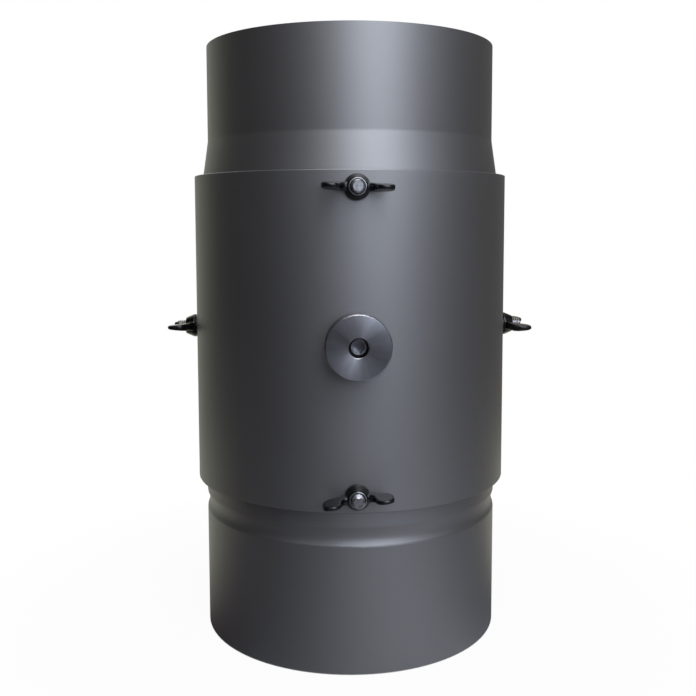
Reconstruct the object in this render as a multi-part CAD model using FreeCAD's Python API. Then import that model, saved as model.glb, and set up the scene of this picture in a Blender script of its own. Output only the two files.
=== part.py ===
import FreeCAD
import Part
import math
import os

# Stove pipe section with a catalytic filter that turns inside it, in millimetres.
#
# The flue runs up +Z and its bottom rim lies at z = 0. The front, with the hatch
# and the knob, faces -Y. The knob, the spindle and the catalyst turn about a line
# along Y at the middle height of the hatch. At rest the catalyst lies across the
# flue, where it filters, and a quarter turn stands it on edge for lighting up.

# Flue pipe, one swaged tube with an inspection window in its front
pipe_height = 303.0
pipe_wall = 2.0
body_diameter = 154.6
spigot_clearance = 0.8
spigot_length = 48.0
cone_length = 19.0
cone_bend_radius = 8.0
groove_height = 66.9
groove_width = 9.0
groove_side_angle = 23.5
groove_floor_radius = 9.5
groove_shoulder_radius = 2.4
window_half_angle = 69.0
window_corner_radius = 12.0

# Hatch: a rolled cover on a flat cord gasket
hatch_height = 158.3
cover_length = 157.4
cover_wall = 2.0
cover_half_angle = 95.0
cover_corner_radius = 22.0
gasket_thickness = 2.25
gasket_width = 7.0
gasket_stud_clearance = 3.2

# Studs, washers and wing nuts
stud_diameter = 6.0
stud_edge_distance = 8.0
side_stud_angle = 90.0
stud_reach = 10.8
stud_end_chamfer = 0.8
stud_hole_clearance = 0.5
washer_diameter = 12.0
washer_thickness = 1.1
nut_running_clearance = 0.05
nut_base_diameter = 11.7
nut_base_rim = 0.9
nut_top_diameter = 8.2
nut_hub_height = 5.2
nut_top_chamfer = 0.4
wing_span = 32.6
wing_height = 13.4
wing_thickness = 2.6
wing_edge_chamfer = 0.6
wing_root_low = 0.5
wing_foot_reach = 8.2
wing_foot_low = 1.3
wing_foot_bend_radius = 6.0
wing_tip_low = 4.2
wing_tip_low_bend_radius = 3.4
wing_tip_bend_radius = 3.6
wing_inner_reach = 8.8
wing_inner_bend_radius = 2.8
wing_neck_reach = 6.8
wing_neck_drop = 0.2
wing_neck_bend_radius = 1.6
wing_root_drop = 1.0
nut_turn_angles = {"top": -2.0, "bottom": 6.0, "left": 1.5, "right": 4.0}

# Spindle with its bush, nut, washers, spring and clip
spindle_diameter = 8.0
spindle_running_clearance = 0.05
bush_flange_diameter = 24.0
bush_flange_thickness = 2.5
bush_shank_diameter = 14.0
bush_hole_clearance = 0.1
bush_stub = 0.2
bush_nut_width = 19.0
bush_nut_thickness = 3.0
thrust_washer_diameter = 15.0
thrust_washer_thickness = 1.0
spring_height = 1.0
spring_sheet = 0.5
clip_thickness = 0.8
clip_radial_width = 2.6
clip_groove_depth = 0.7
clip_opening_angle = 80.0

# Knob with its screw, washer and stop pin
knob_diameter = 30.0
knob_thickness = 10.5
knob_edge_chamfer = 0.5
knob_back_taper_length = 3.0
knob_back_diameter = 25.0
knob_recess_diameter = 8.8
knob_recess_depth = 6.2
knob_recess_chamfer = 0.35
knob_web = 2.0
knob_washer_diameter = 14.0
knob_washer_thickness = 0.8
screw_diameter = 5.0
screw_head_diameter = 8.4
screw_head_height = 3.5
screw_socket_width = 5.0
screw_socket_depth = 2.4
screw_grip = 7.0
screw_turn_angle = 15.0
stop_pin_diameter = 3.0
stop_pin_radius = 9.3
stop_pin_seat = 4.0
stop_pin_reach = 1.7
stop_slot_clearance = 0.3
quarter_turn_angle = 90.0

# Catalyst cassette
swing_clearance = 1.9
band_wall = 1.5
band_height = 44.0
band_lip_width = 5.0
mat_thickness = 3.0
core_height = 40.0
core_skin = 1.0
cell_pitch = 7.6
cell_wall = 1.2
smallest_cell_share = 0.35
retainer_thickness = 1.5
retainer_width = 6.0
saddle_thickness = 1.5
saddle_half_angle = 9.5
saddle_height = 30.0
saddle_corner_radius = 4.0
rivet_spacing = 21.0
rivet_shank_diameter = 3.2
rivet_head_diameter = 6.0
rivet_head_height = 1.0

# Rear pivot in its closed bearing
bearing_diameter = 16.0
bearing_setback = 1.0
bearing_end_gap = 0.5
bearing_end_wall = 3.5
bearing_chamfer = 1.0
pivot_engagement = 6.5

# Radii and heights that follow from the sizes above
body_radius = body_diameter / 2
bore_radius = body_radius - pipe_wall
spigot_radius = bore_radius - spigot_clearance
spigot_foot = pipe_height - spigot_length
cone_foot = spigot_foot - cone_length
cover_inner_radius = body_radius + gasket_thickness
cover_outer_radius = cover_inner_radius + cover_wall
cover_low = hatch_height - cover_length / 2
cover_high = hatch_height + cover_length / 2
stud_radius = stud_diameter / 2
window_margin = stud_edge_distance + stud_radius + gasket_stud_clearance + gasket_width
window_low = cover_low + window_margin
window_high = cover_high - window_margin
stud_end = cover_outer_radius + stud_reach
nut_seat = cover_outer_radius + washer_thickness
spindle_radius = spindle_diameter / 2
running_bore_radius = spindle_radius + spindle_running_clearance
swing_radius = bore_radius - swing_clearance
band_radius = math.sqrt(swing_radius**2 - (band_height / 2)**2)
band_inner_radius = band_radius - band_wall
core_radius = band_inner_radius - mat_thickness
core_low = band_wall - band_height / 2
saddle_radius = band_radius + saddle_thickness

# Distances from the flue axis along the spindle, from the knob inwards
flange_face = cover_outer_radius + bush_flange_thickness
knob_back = flange_face + knob_washer_thickness
knob_front = knob_back + knob_thickness
recess_floor = knob_front - knob_recess_depth
spindle_end = recess_floor - knob_web
bush_nut_seat = math.sqrt(cover_inner_radius**2 - (bush_nut_width / 2)**2)
bush_nut_face = bush_nut_seat - bush_nut_thickness
bush_end = bush_nut_face - bush_stub
spring_seat = bush_end - thrust_washer_thickness
clip_face = spring_seat - spring_height
clip_back = clip_face - clip_thickness
rivet_top = saddle_radius + rivet_head_height
bearing_mouth = rivet_top + bearing_setback
pivot_end = bearing_mouth + pivot_engagement
bearing_floor = pivot_end + bearing_end_gap
bearing_end = bearing_floor + bearing_end_wall

# Where each stud stands: its angle from the front and its height
stud_places = {
    "top": (0.0, cover_high - stud_edge_distance),
    "bottom": (0.0, cover_low + stud_edge_distance),
    "left": (-side_stud_angle, hatch_height),
    "right": (side_stud_angle, hatch_height),
}

origin = FreeCAD.Vector(0, 0, 0)
up = FreeCAD.Vector(0, 0, 1)


def rounded_edges(corners, closed):
    """Edges through (x, z, bend radius) corners, with an arc at each bend."""
    count = len(corners)
    points = [FreeCAD.Vector(x, 0, z) for x, z, bend in corners]
    starts = list(points)
    ends = list(points)
    arcs = [None] * count
    for index in range(count):
        bend = corners[index][2]
        inner = closed or 0 < index < count - 1
        if not inner or bend == 0:
            continue
        before = (points[index - 1] - points[index]).normalize()
        after = (points[(index + 1) % count] - points[index]).normalize()
        half_angle = before.getAngle(after) / 2
        tangent = bend / math.tan(half_angle)
        starts[index] = points[index] + before * tangent
        ends[index] = points[index] + after * tangent
        middle = (before + after).normalize() * (bend / math.sin(half_angle) - bend)
        arcs[index] = Part.Arc(starts[index], points[index] + middle, ends[index]).toShape()
    edges = []
    for index in range(count):
        if arcs[index]:
            edges.append(arcs[index])
        following = (index + 1) % count
        if following or closed:
            edges.append(Part.makeLine(ends[index], starts[following]))
    return edges


def shifted_corners(corners, wall):
    """The corners of a sheet's other face, one wall to the left of this one."""
    points = [FreeCAD.Vector(x, 0, z) for x, z, bend in corners]
    runs = [(b - a).normalize() for a, b in zip(points, points[1:])]
    shifted = []
    for index, (x, z, bend) in enumerate(corners):
        first = runs[max(index - 1, 0)]
        second = runs[min(index, len(runs) - 1)]
        turn = first.x * second.z - first.z * second.x
        share = wall / (1 + first.dot(second))
        new_bend = bend - math.copysign(wall, turn) if bend else 0
        shifted.append((x - share * (first.z + second.z), z + share * (first.x + second.x), new_bend))
    return shifted


def turned(outline):
    """A solid turned about Z from a closed outline of (radius, height) corners."""
    corners = [FreeCAD.Vector(radius, 0, height) for radius, height in outline]
    wire = Part.makePolygon(corners + corners[:1])
    return Part.Face(wire).revolve(origin, up, 360)


def ring(outer, inner, low, high):
    """A flat ring or short tube on the Z axis."""
    return turned([(inner, low), (outer, low), (outer, high), (inner, high)])


def prism(sides, across_flats, low, high):
    """A regular prism on the Z axis, with a flat facing +X."""
    corner = across_flats / 2 / math.cos(math.pi / sides)
    step = 2 * math.pi / sides
    angles = [step * (index + 0.5) for index in range(sides)]
    points = [FreeCAD.Vector(corner * math.cos(a), corner * math.sin(a), low) for a in angles]
    return Part.Face(Part.makePolygon(points + points[:1])).extrude(up * (high - low))


def curved_slot(path_radius, half_width, first_angle, last_angle):
    """A flat round-ended slot along an arc about Z, between two angles in degrees."""

    def spot(radius, angle, past=0.0):
        turn = math.radians(angle)
        along = FreeCAD.Vector(-math.sin(turn), math.cos(turn), 0) * past
        return FreeCAD.Vector(radius * math.cos(turn), radius * math.sin(turn), 0) + along

    middle = (first_angle + last_angle) / 2
    inner = path_radius - half_width
    outer = path_radius + half_width
    arcs = [
        Part.Arc(spot(outer, first_angle), spot(outer, middle), spot(outer, last_angle)),
        Part.Arc(spot(outer, last_angle), spot(path_radius, last_angle, half_width),
                 spot(inner, last_angle)),
        Part.Arc(spot(inner, last_angle), spot(inner, middle), spot(inner, first_angle)),
        Part.Arc(spot(inner, first_angle), spot(path_radius, first_angle, -half_width),
                 spot(outer, first_angle)),
    ]
    return Part.Face(Part.Wire([arc.toShape() for arc in arcs]))


def rolled_plate(outer_radius, thickness, half_angle, low, high, corner):
    """A sheet rolled about the flue axis, centred on the front, its corners rounded.

    The outline is drawn on the unrolled sheet, as an angle and a height.
    """
    surface = Part.Cylinder()
    surface.Radius = outer_radius
    middle = math.pi
    left = middle - math.radians(half_angle)
    right = middle + math.radians(half_angle)
    bend = corner / outer_radius

    def straight(start, end):
        return Part.Geom2d.Line2dSegment(plan(*start), plan(*end)).toShape(surface)

    def rounded(centre_angle, centre_height, quarter):
        ellipse = Part.Geom2d.Ellipse2d(
            plan(centre_angle, centre_height + corner),
            plan(centre_angle - bend, centre_height),
            plan(centre_angle, centre_height),
        )
        start = quarter * math.pi / 2
        return Part.Geom2d.ArcOfEllipse2d(ellipse, start, start + math.pi / 2).toShape(surface)

    plan = FreeCAD.Base.Vector2d
    edges = [
        straight((left + bend, low), (right - bend, low)),
        straight((right, low + corner), (right, high - corner)),
        straight((right - bend, high), (left + bend, high)),
        straight((left, high - corner), (left, low + corner)),
        rounded(left + bend, high - corner, 0),
        rounded(left + bend, low + corner, 1),
        rounded(right - bend, low + corner, 2),
        rounded(right - bend, high - corner, 3),
    ]
    face = Part.Face(surface, Part.Wire(Part.__sortEdges__(edges)))
    face.validate()
    sheet = face.makeOffsetShape(-thickness, 0.001, fill=True)
    sheet.rotate(origin, up, 90)
    return sheet


def facing_out(shape, angle=0.0, height=0.0, turn=0.0):
    """Turn a shape's +Z outwards from the flue, at an angle from the front."""
    placed = shape.copy()
    placed.rotate(origin, up, turn)
    placed.rotate(origin, FreeCAD.Vector(1, 0, 0), 90)
    placed.rotate(origin, up, angle)
    placed.translate(FreeCAD.Vector(0, 0, height))
    return placed


def flue_cylinder(radius):
    """A solid cylinder along the whole flue, for seats on the pipe or the band."""
    return Part.makeCylinder(radius, pipe_height)


def make_flue_pipe():
    """Swaged pipe: socket, rolled stop groove, body, cone and spigot, with its window."""
    groove_corner = groove_width / 2 * math.tan(math.radians(groove_side_angle))
    outside = [
        (body_radius, 0, 0),
        (body_radius, groove_height - groove_width / 2, groove_shoulder_radius),
        (body_radius - groove_corner, groove_height, groove_floor_radius),
        (body_radius, groove_height + groove_width / 2, groove_shoulder_radius),
        (body_radius, cone_foot, cone_bend_radius),
        (spigot_radius, spigot_foot, cone_bend_radius),
        (spigot_radius, pipe_height, 0),
    ]
    inside = shifted_corners(outside, pipe_wall)
    rims = []
    for end in (0, -1):
        outer = FreeCAD.Vector(outside[end][0], 0, outside[end][1])
        inner = FreeCAD.Vector(inside[end][0], 0, inside[end][1])
        rims.append(Part.makeLine(outer, inner))
    edges = rounded_edges(outside, False) + rounded_edges(inside, False) + rims
    section = Part.Face(Part.Wire(Part.__sortEdges__(edges)))
    pipe = section.revolve(origin, up, 360)
    window = rolled_plate(cover_inner_radius, cover_inner_radius - spigot_radius, window_half_angle,
                          window_low, window_high, window_corner_radius)
    bearing_hole = Part.makeCylinder(bearing_diameter / 2, bearing_end)
    return pipe.cut([window, facing_out(bearing_hole, 180, hatch_height)])


def make_hatch_cover():
    """Rolled cover with two round stud holes, two open side slots and the bush hole."""
    cover = rolled_plate(cover_outer_radius, cover_wall, cover_half_angle,
                         cover_low, cover_high, cover_corner_radius)
    hole_radius = stud_radius + stud_hole_clearance
    drill = Part.makeCylinder(hole_radius, stud_end)
    bush_drill = Part.makeCylinder(bush_shank_diameter / 2 + bush_hole_clearance, stud_end)
    cuts = [facing_out(bush_drill, 0, hatch_height)]
    for angle, height in stud_places.values():
        cuts.append(facing_out(drill, angle, height))
        if angle:
            slot = Part.makeBox(stud_end, cover_outer_radius, 2 * hole_radius)
            slot.translate(FreeCAD.Vector(0, 0, height - hole_radius))
            if angle < 0:
                slot = slot.mirror(origin, FreeCAD.Vector(1, 0, 0))
            cuts.append(slot)
    return cover.cut(cuts)


def make_hatch_gasket():
    """Flat cord gasket, a frame round the window that fills the gap under the cover."""
    margin_angle = math.degrees(gasket_width / cover_inner_radius)
    outline = rolled_plate(cover_inner_radius, gasket_thickness, window_half_angle + margin_angle,
                           window_low - gasket_width, window_high + gasket_width,
                           window_corner_radius + gasket_width)
    opening = rolled_plate(cover_outer_radius, cover_outer_radius - bore_radius,
                           window_half_angle, window_low, window_high, window_corner_radius)
    return outline.cut(opening)


def make_hatch_studs():
    """Four studs, each welded by its hollowed foot to the round pipe."""
    stud = turned([
        (0, bore_radius),
        (stud_radius, bore_radius),
        (stud_radius, stud_end - stud_end_chamfer),
        (stud_radius - stud_end_chamfer, stud_end),
        (0, stud_end),
    ])
    pipe_core = flue_cylinder(body_radius)
    return Part.Compound([
        facing_out(stud, angle, height).cut(pipe_core)
        for angle, height in stud_places.values()
    ])


def make_stud_washers():
    """Four flat washers between the cover and the wing nuts."""
    washer = ring(washer_diameter / 2, stud_radius + stud_hole_clearance,
                  cover_outer_radius, nut_seat)
    return Part.Compound([
        facing_out(washer, angle, height) for angle, height in stud_places.values()
    ])


def make_wing_nut(place):
    """Wing nut: a conical hub with two paddle wings, turned as it was left tightened."""
    top_radius = nut_top_diameter / 2
    hub = turned([
        (0, 0),
        (nut_base_diameter / 2, 0),
        (nut_base_diameter / 2, nut_base_rim),
        (top_radius, nut_hub_height - nut_top_chamfer),
        (top_radius - nut_top_chamfer, nut_hub_height),
        (0, nut_hub_height),
    ])
    tip = wing_span / 2
    outline = [
        (stud_radius, wing_root_low, 0),
        (wing_foot_reach, wing_foot_low, wing_foot_bend_radius),
        (tip, wing_tip_low, wing_tip_low_bend_radius),
        (tip, wing_height, wing_tip_bend_radius),
        (wing_inner_reach, wing_height, wing_inner_bend_radius),
        (wing_neck_reach, nut_hub_height - wing_neck_drop, wing_neck_bend_radius),
        (stud_radius, nut_hub_height - wing_root_drop, 0),
    ]
    face = Part.Face(Part.Wire(rounded_edges(outline, True)))
    wing = face.extrude(FreeCAD.Vector(0, wing_thickness, 0))
    wing.translate(FreeCAD.Vector(0, -wing_thickness / 2, 0))
    rims = [edge for edge in wing.Edges if is_wing_rim(edge)]
    wing = wing.makeChamfer(wing_edge_chamfer, rims)
    other_wing = wing.mirror(origin, FreeCAD.Vector(1, 0, 0))
    thread = Part.makeCylinder(stud_radius + nut_running_clearance, wing_height)
    nut = hub.fuse([wing, other_wing]).cut(thread)
    nut.translate(FreeCAD.Vector(0, 0, nut_seat))
    angle, height = stud_places[place]
    return facing_out(nut, angle, height, nut_turn_angles[place])


def is_wing_rim(edge):
    """Whether an edge runs round a flat side of the wing, clear of its root."""
    box = edge.BoundBox
    return box.YLength < nut_running_clearance and box.XMax > stud_radius + nut_running_clearance


def make_knob():
    """Turned knob: a flat disc with a recess for its screw and a tapered back."""
    radius = knob_diameter / 2
    recess = knob_recess_diameter / 2
    knob = turned([
        (screw_diameter / 2, spindle_end),
        (spindle_radius, spindle_end),
        (spindle_radius, knob_back),
        (knob_back_diameter / 2, knob_back),
        (radius, knob_back + knob_back_taper_length),
        (radius, knob_front - knob_edge_chamfer),
        (radius - knob_edge_chamfer, knob_front),
        (recess + knob_recess_chamfer, knob_front),
        (recess, knob_front - knob_recess_chamfer),
        (recess, recess_floor),
        (screw_diameter / 2, recess_floor),
    ])
    pin_hole = Part.makeCylinder(stop_pin_diameter / 2, stop_pin_seat)
    pin_hole.translate(FreeCAD.Vector(-stop_pin_radius, 0, knob_back))
    return facing_out(knob.cut(pin_hole), 0, hatch_height)


def make_knob_screw():
    """Socket head screw that clamps the knob to the end of the spindle."""
    head_top = recess_floor + screw_head_height
    screw = turned([
        (0, spindle_end - screw_grip),
        (screw_diameter / 2, spindle_end - screw_grip),
        (screw_diameter / 2, recess_floor),
        (screw_head_diameter / 2, recess_floor),
        (screw_head_diameter / 2, head_top),
        (0, head_top),
    ])
    socket = prism(6, screw_socket_width, head_top - screw_socket_depth, head_top)
    return facing_out(screw.cut(socket), 0, hatch_height, screw_turn_angle)


def make_knob_washer():
    """Sliding washer between the knob and the bush flange."""
    washer = ring(knob_washer_diameter / 2, spindle_radius, flange_face, knob_back)
    return facing_out(washer, 0, hatch_height)


def make_stop_pin():
    """Pin in the knob's back that runs in the bush's quarter slot."""
    pin = Part.makeCylinder(stop_pin_diameter / 2, stop_pin_seat + knob_washer_thickness + stop_pin_reach)
    pin.translate(FreeCAD.Vector(-stop_pin_radius, 0, flange_face - stop_pin_reach))
    return facing_out(pin, 0, hatch_height)


def make_spindle_bush():
    """Flanged bush in the cover, with a quarter slot that stops the turn at each end."""
    bush = turned([
        (running_bore_radius, bush_end),
        (bush_shank_diameter / 2, bush_end),
        (bush_shank_diameter / 2, cover_outer_radius),
        (bush_flange_diameter / 2, cover_outer_radius),
        (bush_flange_diameter / 2, flange_face),
        (running_bore_radius, flange_face),
    ])
    slot_floor = flange_face - stop_pin_reach - stop_slot_clearance
    slot = curved_slot(stop_pin_radius, stop_pin_diameter / 2 + stop_slot_clearance,
                       180 - quarter_turn_angle, 180)
    slot = slot.extrude(up * (knob_back - slot_floor))
    slot.translate(up * slot_floor)
    return facing_out(bush.cut(slot), 0, hatch_height)


def make_bush_nut():
    """Thin hexagon nut that clamps the bush from inside the cover."""
    nut = prism(6, bush_nut_width, bush_nut_face, bush_nut_seat)
    bore = Part.makeCylinder(bush_shank_diameter / 2, cover_outer_radius)
    return facing_out(nut.cut(bore), 0, hatch_height)


def make_thrust_washer():
    """Washer on the inner end of the bush, the seat of the spring."""
    washer = ring(thrust_washer_diameter / 2, running_bore_radius, spring_seat, bush_end)
    return facing_out(washer, 0, hatch_height)


def make_disc_spring():
    """Conical disc spring that pulls the knob against the bush and holds it where set."""
    outer = thrust_washer_diameter / 2
    spring = turned([
        (running_bore_radius, clip_face),
        (running_bore_radius, clip_face + spring_sheet),
        (outer, spring_seat),
        (outer, spring_seat - spring_sheet),
    ])
    return facing_out(spring, 0, hatch_height)


def make_spindle_clip():
    """Open retaining clip in the spindle's groove."""
    inner = spindle_radius - clip_groove_depth
    corners = [
        FreeCAD.Vector(inner, 0, clip_back),
        FreeCAD.Vector(inner + clip_radial_width, 0, clip_back),
        FreeCAD.Vector(inner + clip_radial_width, 0, clip_face),
        FreeCAD.Vector(inner, 0, clip_face),
    ]
    section = Part.Face(Part.makePolygon(corners + corners[:1]))
    clip = section.revolve(origin, up, 360 - clip_opening_angle)
    return facing_out(clip, 0, hatch_height, clip_opening_angle / 2)


def make_spindle():
    """Front spindle: tapped for the knob screw, grooved for the clip, welded to the band."""
    tap_radius = screw_diameter / 2
    groove_radius = spindle_radius - clip_groove_depth
    tap_floor = spindle_end - screw_grip
    spindle = turned([
        (0, core_radius),
        (spindle_radius, core_radius),
        (spindle_radius, clip_back),
        (groove_radius, clip_back),
        (groove_radius, clip_face),
        (spindle_radius, clip_face),
        (spindle_radius, spindle_end),
        (tap_radius, spindle_end),
        (tap_radius, tap_floor),
        (0, tap_floor),
    ])
    return facing_out(spindle, 0, hatch_height).cut(flue_cylinder(band_inner_radius))


def make_saddle(angle):
    """Rolled saddle plate that spreads the spindle's load on the thin band."""
    plate = rolled_plate(saddle_radius, saddle_thickness, saddle_half_angle,
                         hatch_height - saddle_height / 2, hatch_height + saddle_height / 2,
                         saddle_corner_radius)
    spindle_hole = Part.makeCylinder(spindle_radius, rivet_top)
    plate = plate.cut([facing_out(spindle_hole, 0, hatch_height)] + rivet_holes(0))
    plate.rotate(origin, up, angle)
    return plate


def rivet_holes(angle):
    """The two rivet holes through a saddle and the band behind it."""
    hole = Part.makeCylinder(rivet_shank_diameter / 2, rivet_top)
    return [
        facing_out(hole, angle, hatch_height + side * rivet_spacing / 2) for side in (-1, 1)
    ]


def make_saddle_rivets():
    """Four rivets, their heads hollowed to the saddles and their ends flush in the band."""
    shank = Part.makeCylinder(rivet_shank_diameter / 2, rivet_top)
    head = Part.makeCylinder(rivet_head_diameter / 2, rivet_top)
    head_core = flue_cylinder(saddle_radius)
    shank_core = flue_cylinder(band_inner_radius)
    rivets = []
    for angle in (0, 180):
        for side in (-1, 1):
            height = hatch_height + side * rivet_spacing / 2
            cap = facing_out(head, angle, height).cut(head_core)
            body = facing_out(shank, angle, height).cut(shank_core)
            rivets.append(cap.fuse(body).removeSplitter())
    return Part.Compound(rivets)


def make_catalyst_band():
    """Stainless band round the catalyst, with an inturned lip at its lower edge."""
    half = band_height / 2
    band = turned([
        (band_inner_radius - band_lip_width, -half),
        (band_radius, -half),
        (band_radius, half),
        (band_inner_radius, half),
        (band_inner_radius, core_low),
        (band_inner_radius - band_lip_width, core_low),
    ])
    band.translate(FreeCAD.Vector(0, 0, hatch_height))
    holes = []
    for angle in (0, 180):
        spindle_hole = Part.makeCylinder(spindle_radius, rivet_top)
        holes.append(facing_out(spindle_hole, angle, hatch_height))
        holes += rivet_holes(angle)
    return band.cut(holes)


def make_core_mat():
    """Fibre mat that holds the catalyst tight in its band."""
    low = hatch_height + core_low
    return ring(band_inner_radius, core_radius, low, low + core_height)


def make_retaining_ring():
    """Flat ring sprung into the band over the catalyst."""
    low = hatch_height + core_low + core_height
    return ring(band_inner_radius, band_inner_radius - retainer_width, low, low + retainer_thickness)


def make_catalyst_core():
    """Honeycomb block: a grid of square cells, cut off round inside a solid skin."""
    cell = cell_pitch - cell_wall
    skin_radius = core_radius - core_skin
    low = hatch_height + core_low
    skin = Part.Face(Part.Wire(Part.makeCircle(skin_radius, FreeCAD.Vector(0, 0, low))))
    reach = math.ceil(skin_radius / cell_pitch)
    cells = []
    for column in range(-reach, reach + 1):
        for row in range(-reach, reach + 1):
            x = column * cell_pitch
            y = row * cell_pitch
            square = Part.makePlane(cell, cell, FreeCAD.Vector(x - cell / 2, y - cell / 2, low))
            corner = math.hypot(abs(x) + cell / 2, abs(y) + cell / 2)
            if corner < skin_radius:
                cells.append(square.OuterWire)
                continue
            for face in square.common(skin).Faces:
                if face.Area > smallest_cell_share * cell**2:
                    cells.append(face.OuterWire)
    rim = Part.Wire(Part.makeCircle(core_radius, FreeCAD.Vector(0, 0, low)))
    section = Part.makeFace([rim] + cells, "Part::FaceMakerBullseye")
    return section.extrude(up * core_height)


def make_rear_pivot():
    """Plain pivot pin behind the band, in the rear bearing."""
    pin = turned([
        (0, core_radius),
        (spindle_radius, core_radius),
        (spindle_radius, pivot_end),
        (0, pivot_end),
    ])
    return facing_out(pin, 180, hatch_height).cut(flue_cylinder(band_inner_radius))


def make_rear_bearing():
    """Closed bearing welded through the back wall, so that no smoke leaks past the pin."""
    radius = bearing_diameter / 2
    bearing = turned([
        (running_bore_radius, bearing_mouth),
        (radius, bearing_mouth),
        (radius, bearing_end - bearing_chamfer),
        (radius - bearing_chamfer, bearing_end),
        (0, bearing_end),
        (0, bearing_floor),
        (running_bore_radius, bearing_floor),
    ])
    return facing_out(bearing, 180, hatch_height)


def main():
    """Build every piece and write one file for each."""
    pieces = {
        "flue_pipe": make_flue_pipe(),
        "hatch_cover": make_hatch_cover(),
        "hatch_gasket": make_hatch_gasket(),
        "hatch_studs": make_hatch_studs(),
        "stud_washers": make_stud_washers(),
        "knob": make_knob(),
        "knob_screw": make_knob_screw(),
        "knob_washer": make_knob_washer(),
        "stop_pin": make_stop_pin(),
        "spindle_bush": make_spindle_bush(),
        "bush_nut": make_bush_nut(),
        "thrust_washer": make_thrust_washer(),
        "disc_spring": make_disc_spring(),
        "spindle_clip": make_spindle_clip(),
        "spindle": make_spindle(),
        "front_saddle": make_saddle(0),
        "rear_saddle": make_saddle(180),
        "saddle_rivets": make_saddle_rivets(),
        "catalyst_band": make_catalyst_band(),
        "core_mat": make_core_mat(),
        "retaining_ring": make_retaining_ring(),
        "catalyst_core": make_catalyst_core(),
        "rear_pivot": make_rear_pivot(),
        "rear_bearing": make_rear_bearing(),
    }
    for place in stud_places:
        pieces["wing_nut_" + place] = make_wing_nut(place)
    os.makedirs("parts", exist_ok=True)
    for name, shape in pieces.items():
        shape.exportStep("parts/" + name + ".step")
        sound = shape.isValid() and shape.Volume > 0
        print(name, "solids", len(shape.Solids), "volume", round(shape.Volume), "sound", sound)


main()
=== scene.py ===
import logging
import math
from dataclasses import dataclass, field
from enum import Enum
from typing import Any, ClassVar, Iterable, Optional, Sequence

import bmesh
import bpy
from mathutils import Matrix, Vector


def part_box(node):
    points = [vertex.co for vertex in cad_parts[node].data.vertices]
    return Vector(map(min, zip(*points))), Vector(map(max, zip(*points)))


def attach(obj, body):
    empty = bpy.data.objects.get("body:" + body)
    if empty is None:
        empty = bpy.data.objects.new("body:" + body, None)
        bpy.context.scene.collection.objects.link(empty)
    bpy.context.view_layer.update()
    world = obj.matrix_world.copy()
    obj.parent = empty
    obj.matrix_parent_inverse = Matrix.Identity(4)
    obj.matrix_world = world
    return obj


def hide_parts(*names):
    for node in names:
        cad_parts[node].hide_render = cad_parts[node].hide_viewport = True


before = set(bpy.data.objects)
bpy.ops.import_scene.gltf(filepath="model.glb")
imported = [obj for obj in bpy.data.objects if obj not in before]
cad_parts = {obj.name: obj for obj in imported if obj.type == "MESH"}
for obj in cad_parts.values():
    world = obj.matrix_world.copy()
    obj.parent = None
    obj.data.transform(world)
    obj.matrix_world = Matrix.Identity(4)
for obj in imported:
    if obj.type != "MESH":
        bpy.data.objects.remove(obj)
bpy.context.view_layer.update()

# The looks of a stove pipe section with a catalytic filter inside. The sizes of its pieces
# are in millimetres, and MM turns them into the frame's metres. The studio is in metres.
log = logging.getLogger("stove_pipe_filter")
MM = 0.001
SHARP_ANGLE = math.radians(38)
Colour = tuple[float, float, float, float]
Outline = Sequence[tuple[float, float]]


def to_linear(hex_colour: str) -> Colour:
    """Turn an sRGB hex colour into the linear values that shaders take.

    Args:
        hex_colour: The colour as "#rrggbb".

    Returns:
        Red, green, blue and an alpha of 1, linear.
    """
    channels = [int(hex_colour[start:start + 2], 16) / 255 for start in (1, 3, 5)]
    linear = [c / 12.92 if c <= 0.04045 else ((c + 0.055) / 1.055) ** 2.4 for c in channels]
    return (linear[0], linear[1], linear[2], 1.0)


def add_node(tree: bpy.types.NodeTree, kind: str, settings: Optional[dict[Any, Any]] = None,
             links: Optional[dict[Any, bpy.types.NodeSocket]] = None,
             **attributes: Any) -> bpy.types.Node:
    """Add a shader node with its settings and links.

    Args:
        tree: The node tree that gets the node.
        kind: The node's type without its ShaderNode prefix.
        settings: Values by the name or number of the node's own input.
        links: Sockets that feed the node, by the name or number of its input.
        attributes: The node's own properties, such as its operation.

    Returns:
        The new node.
    """
    node = tree.nodes.new("ShaderNode" + kind)
    for name, value in attributes.items():
        setattr(node, name, value)
    for socket, value in (settings or {}).items():
        node.inputs[socket].default_value = value
    for socket, source in (links or {}).items():
        tree.links.new(source, node.inputs[socket])
    return node


def bare_material(name: str) -> bpy.types.Material:
    """A new material whose node tree is empty."""
    material = bpy.data.materials.new(name)
    material.use_nodes = True
    material.node_tree.nodes.clear()
    return material


def as_data(name: str, mesh: bmesh.types.BMesh) -> bpy.types.Mesh:
    """Turn a working mesh into mesh data, and free it."""
    data = bpy.data.meshes.new(name)
    mesh.to_mesh(data)
    mesh.free()
    return data


def in_scene(name: str, data: bpy.types.ID) -> bpy.types.Object:
    """Put a new object with some data into the scene."""
    thing = bpy.data.objects.new(name, data)
    bpy.context.scene.collection.objects.link(thing)
    return thing


def per_metre(size_mm: float) -> float:
    """The noise scale whose features are about this many millimetres apart."""
    return 1.0 / (size_mm * MM)


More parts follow.
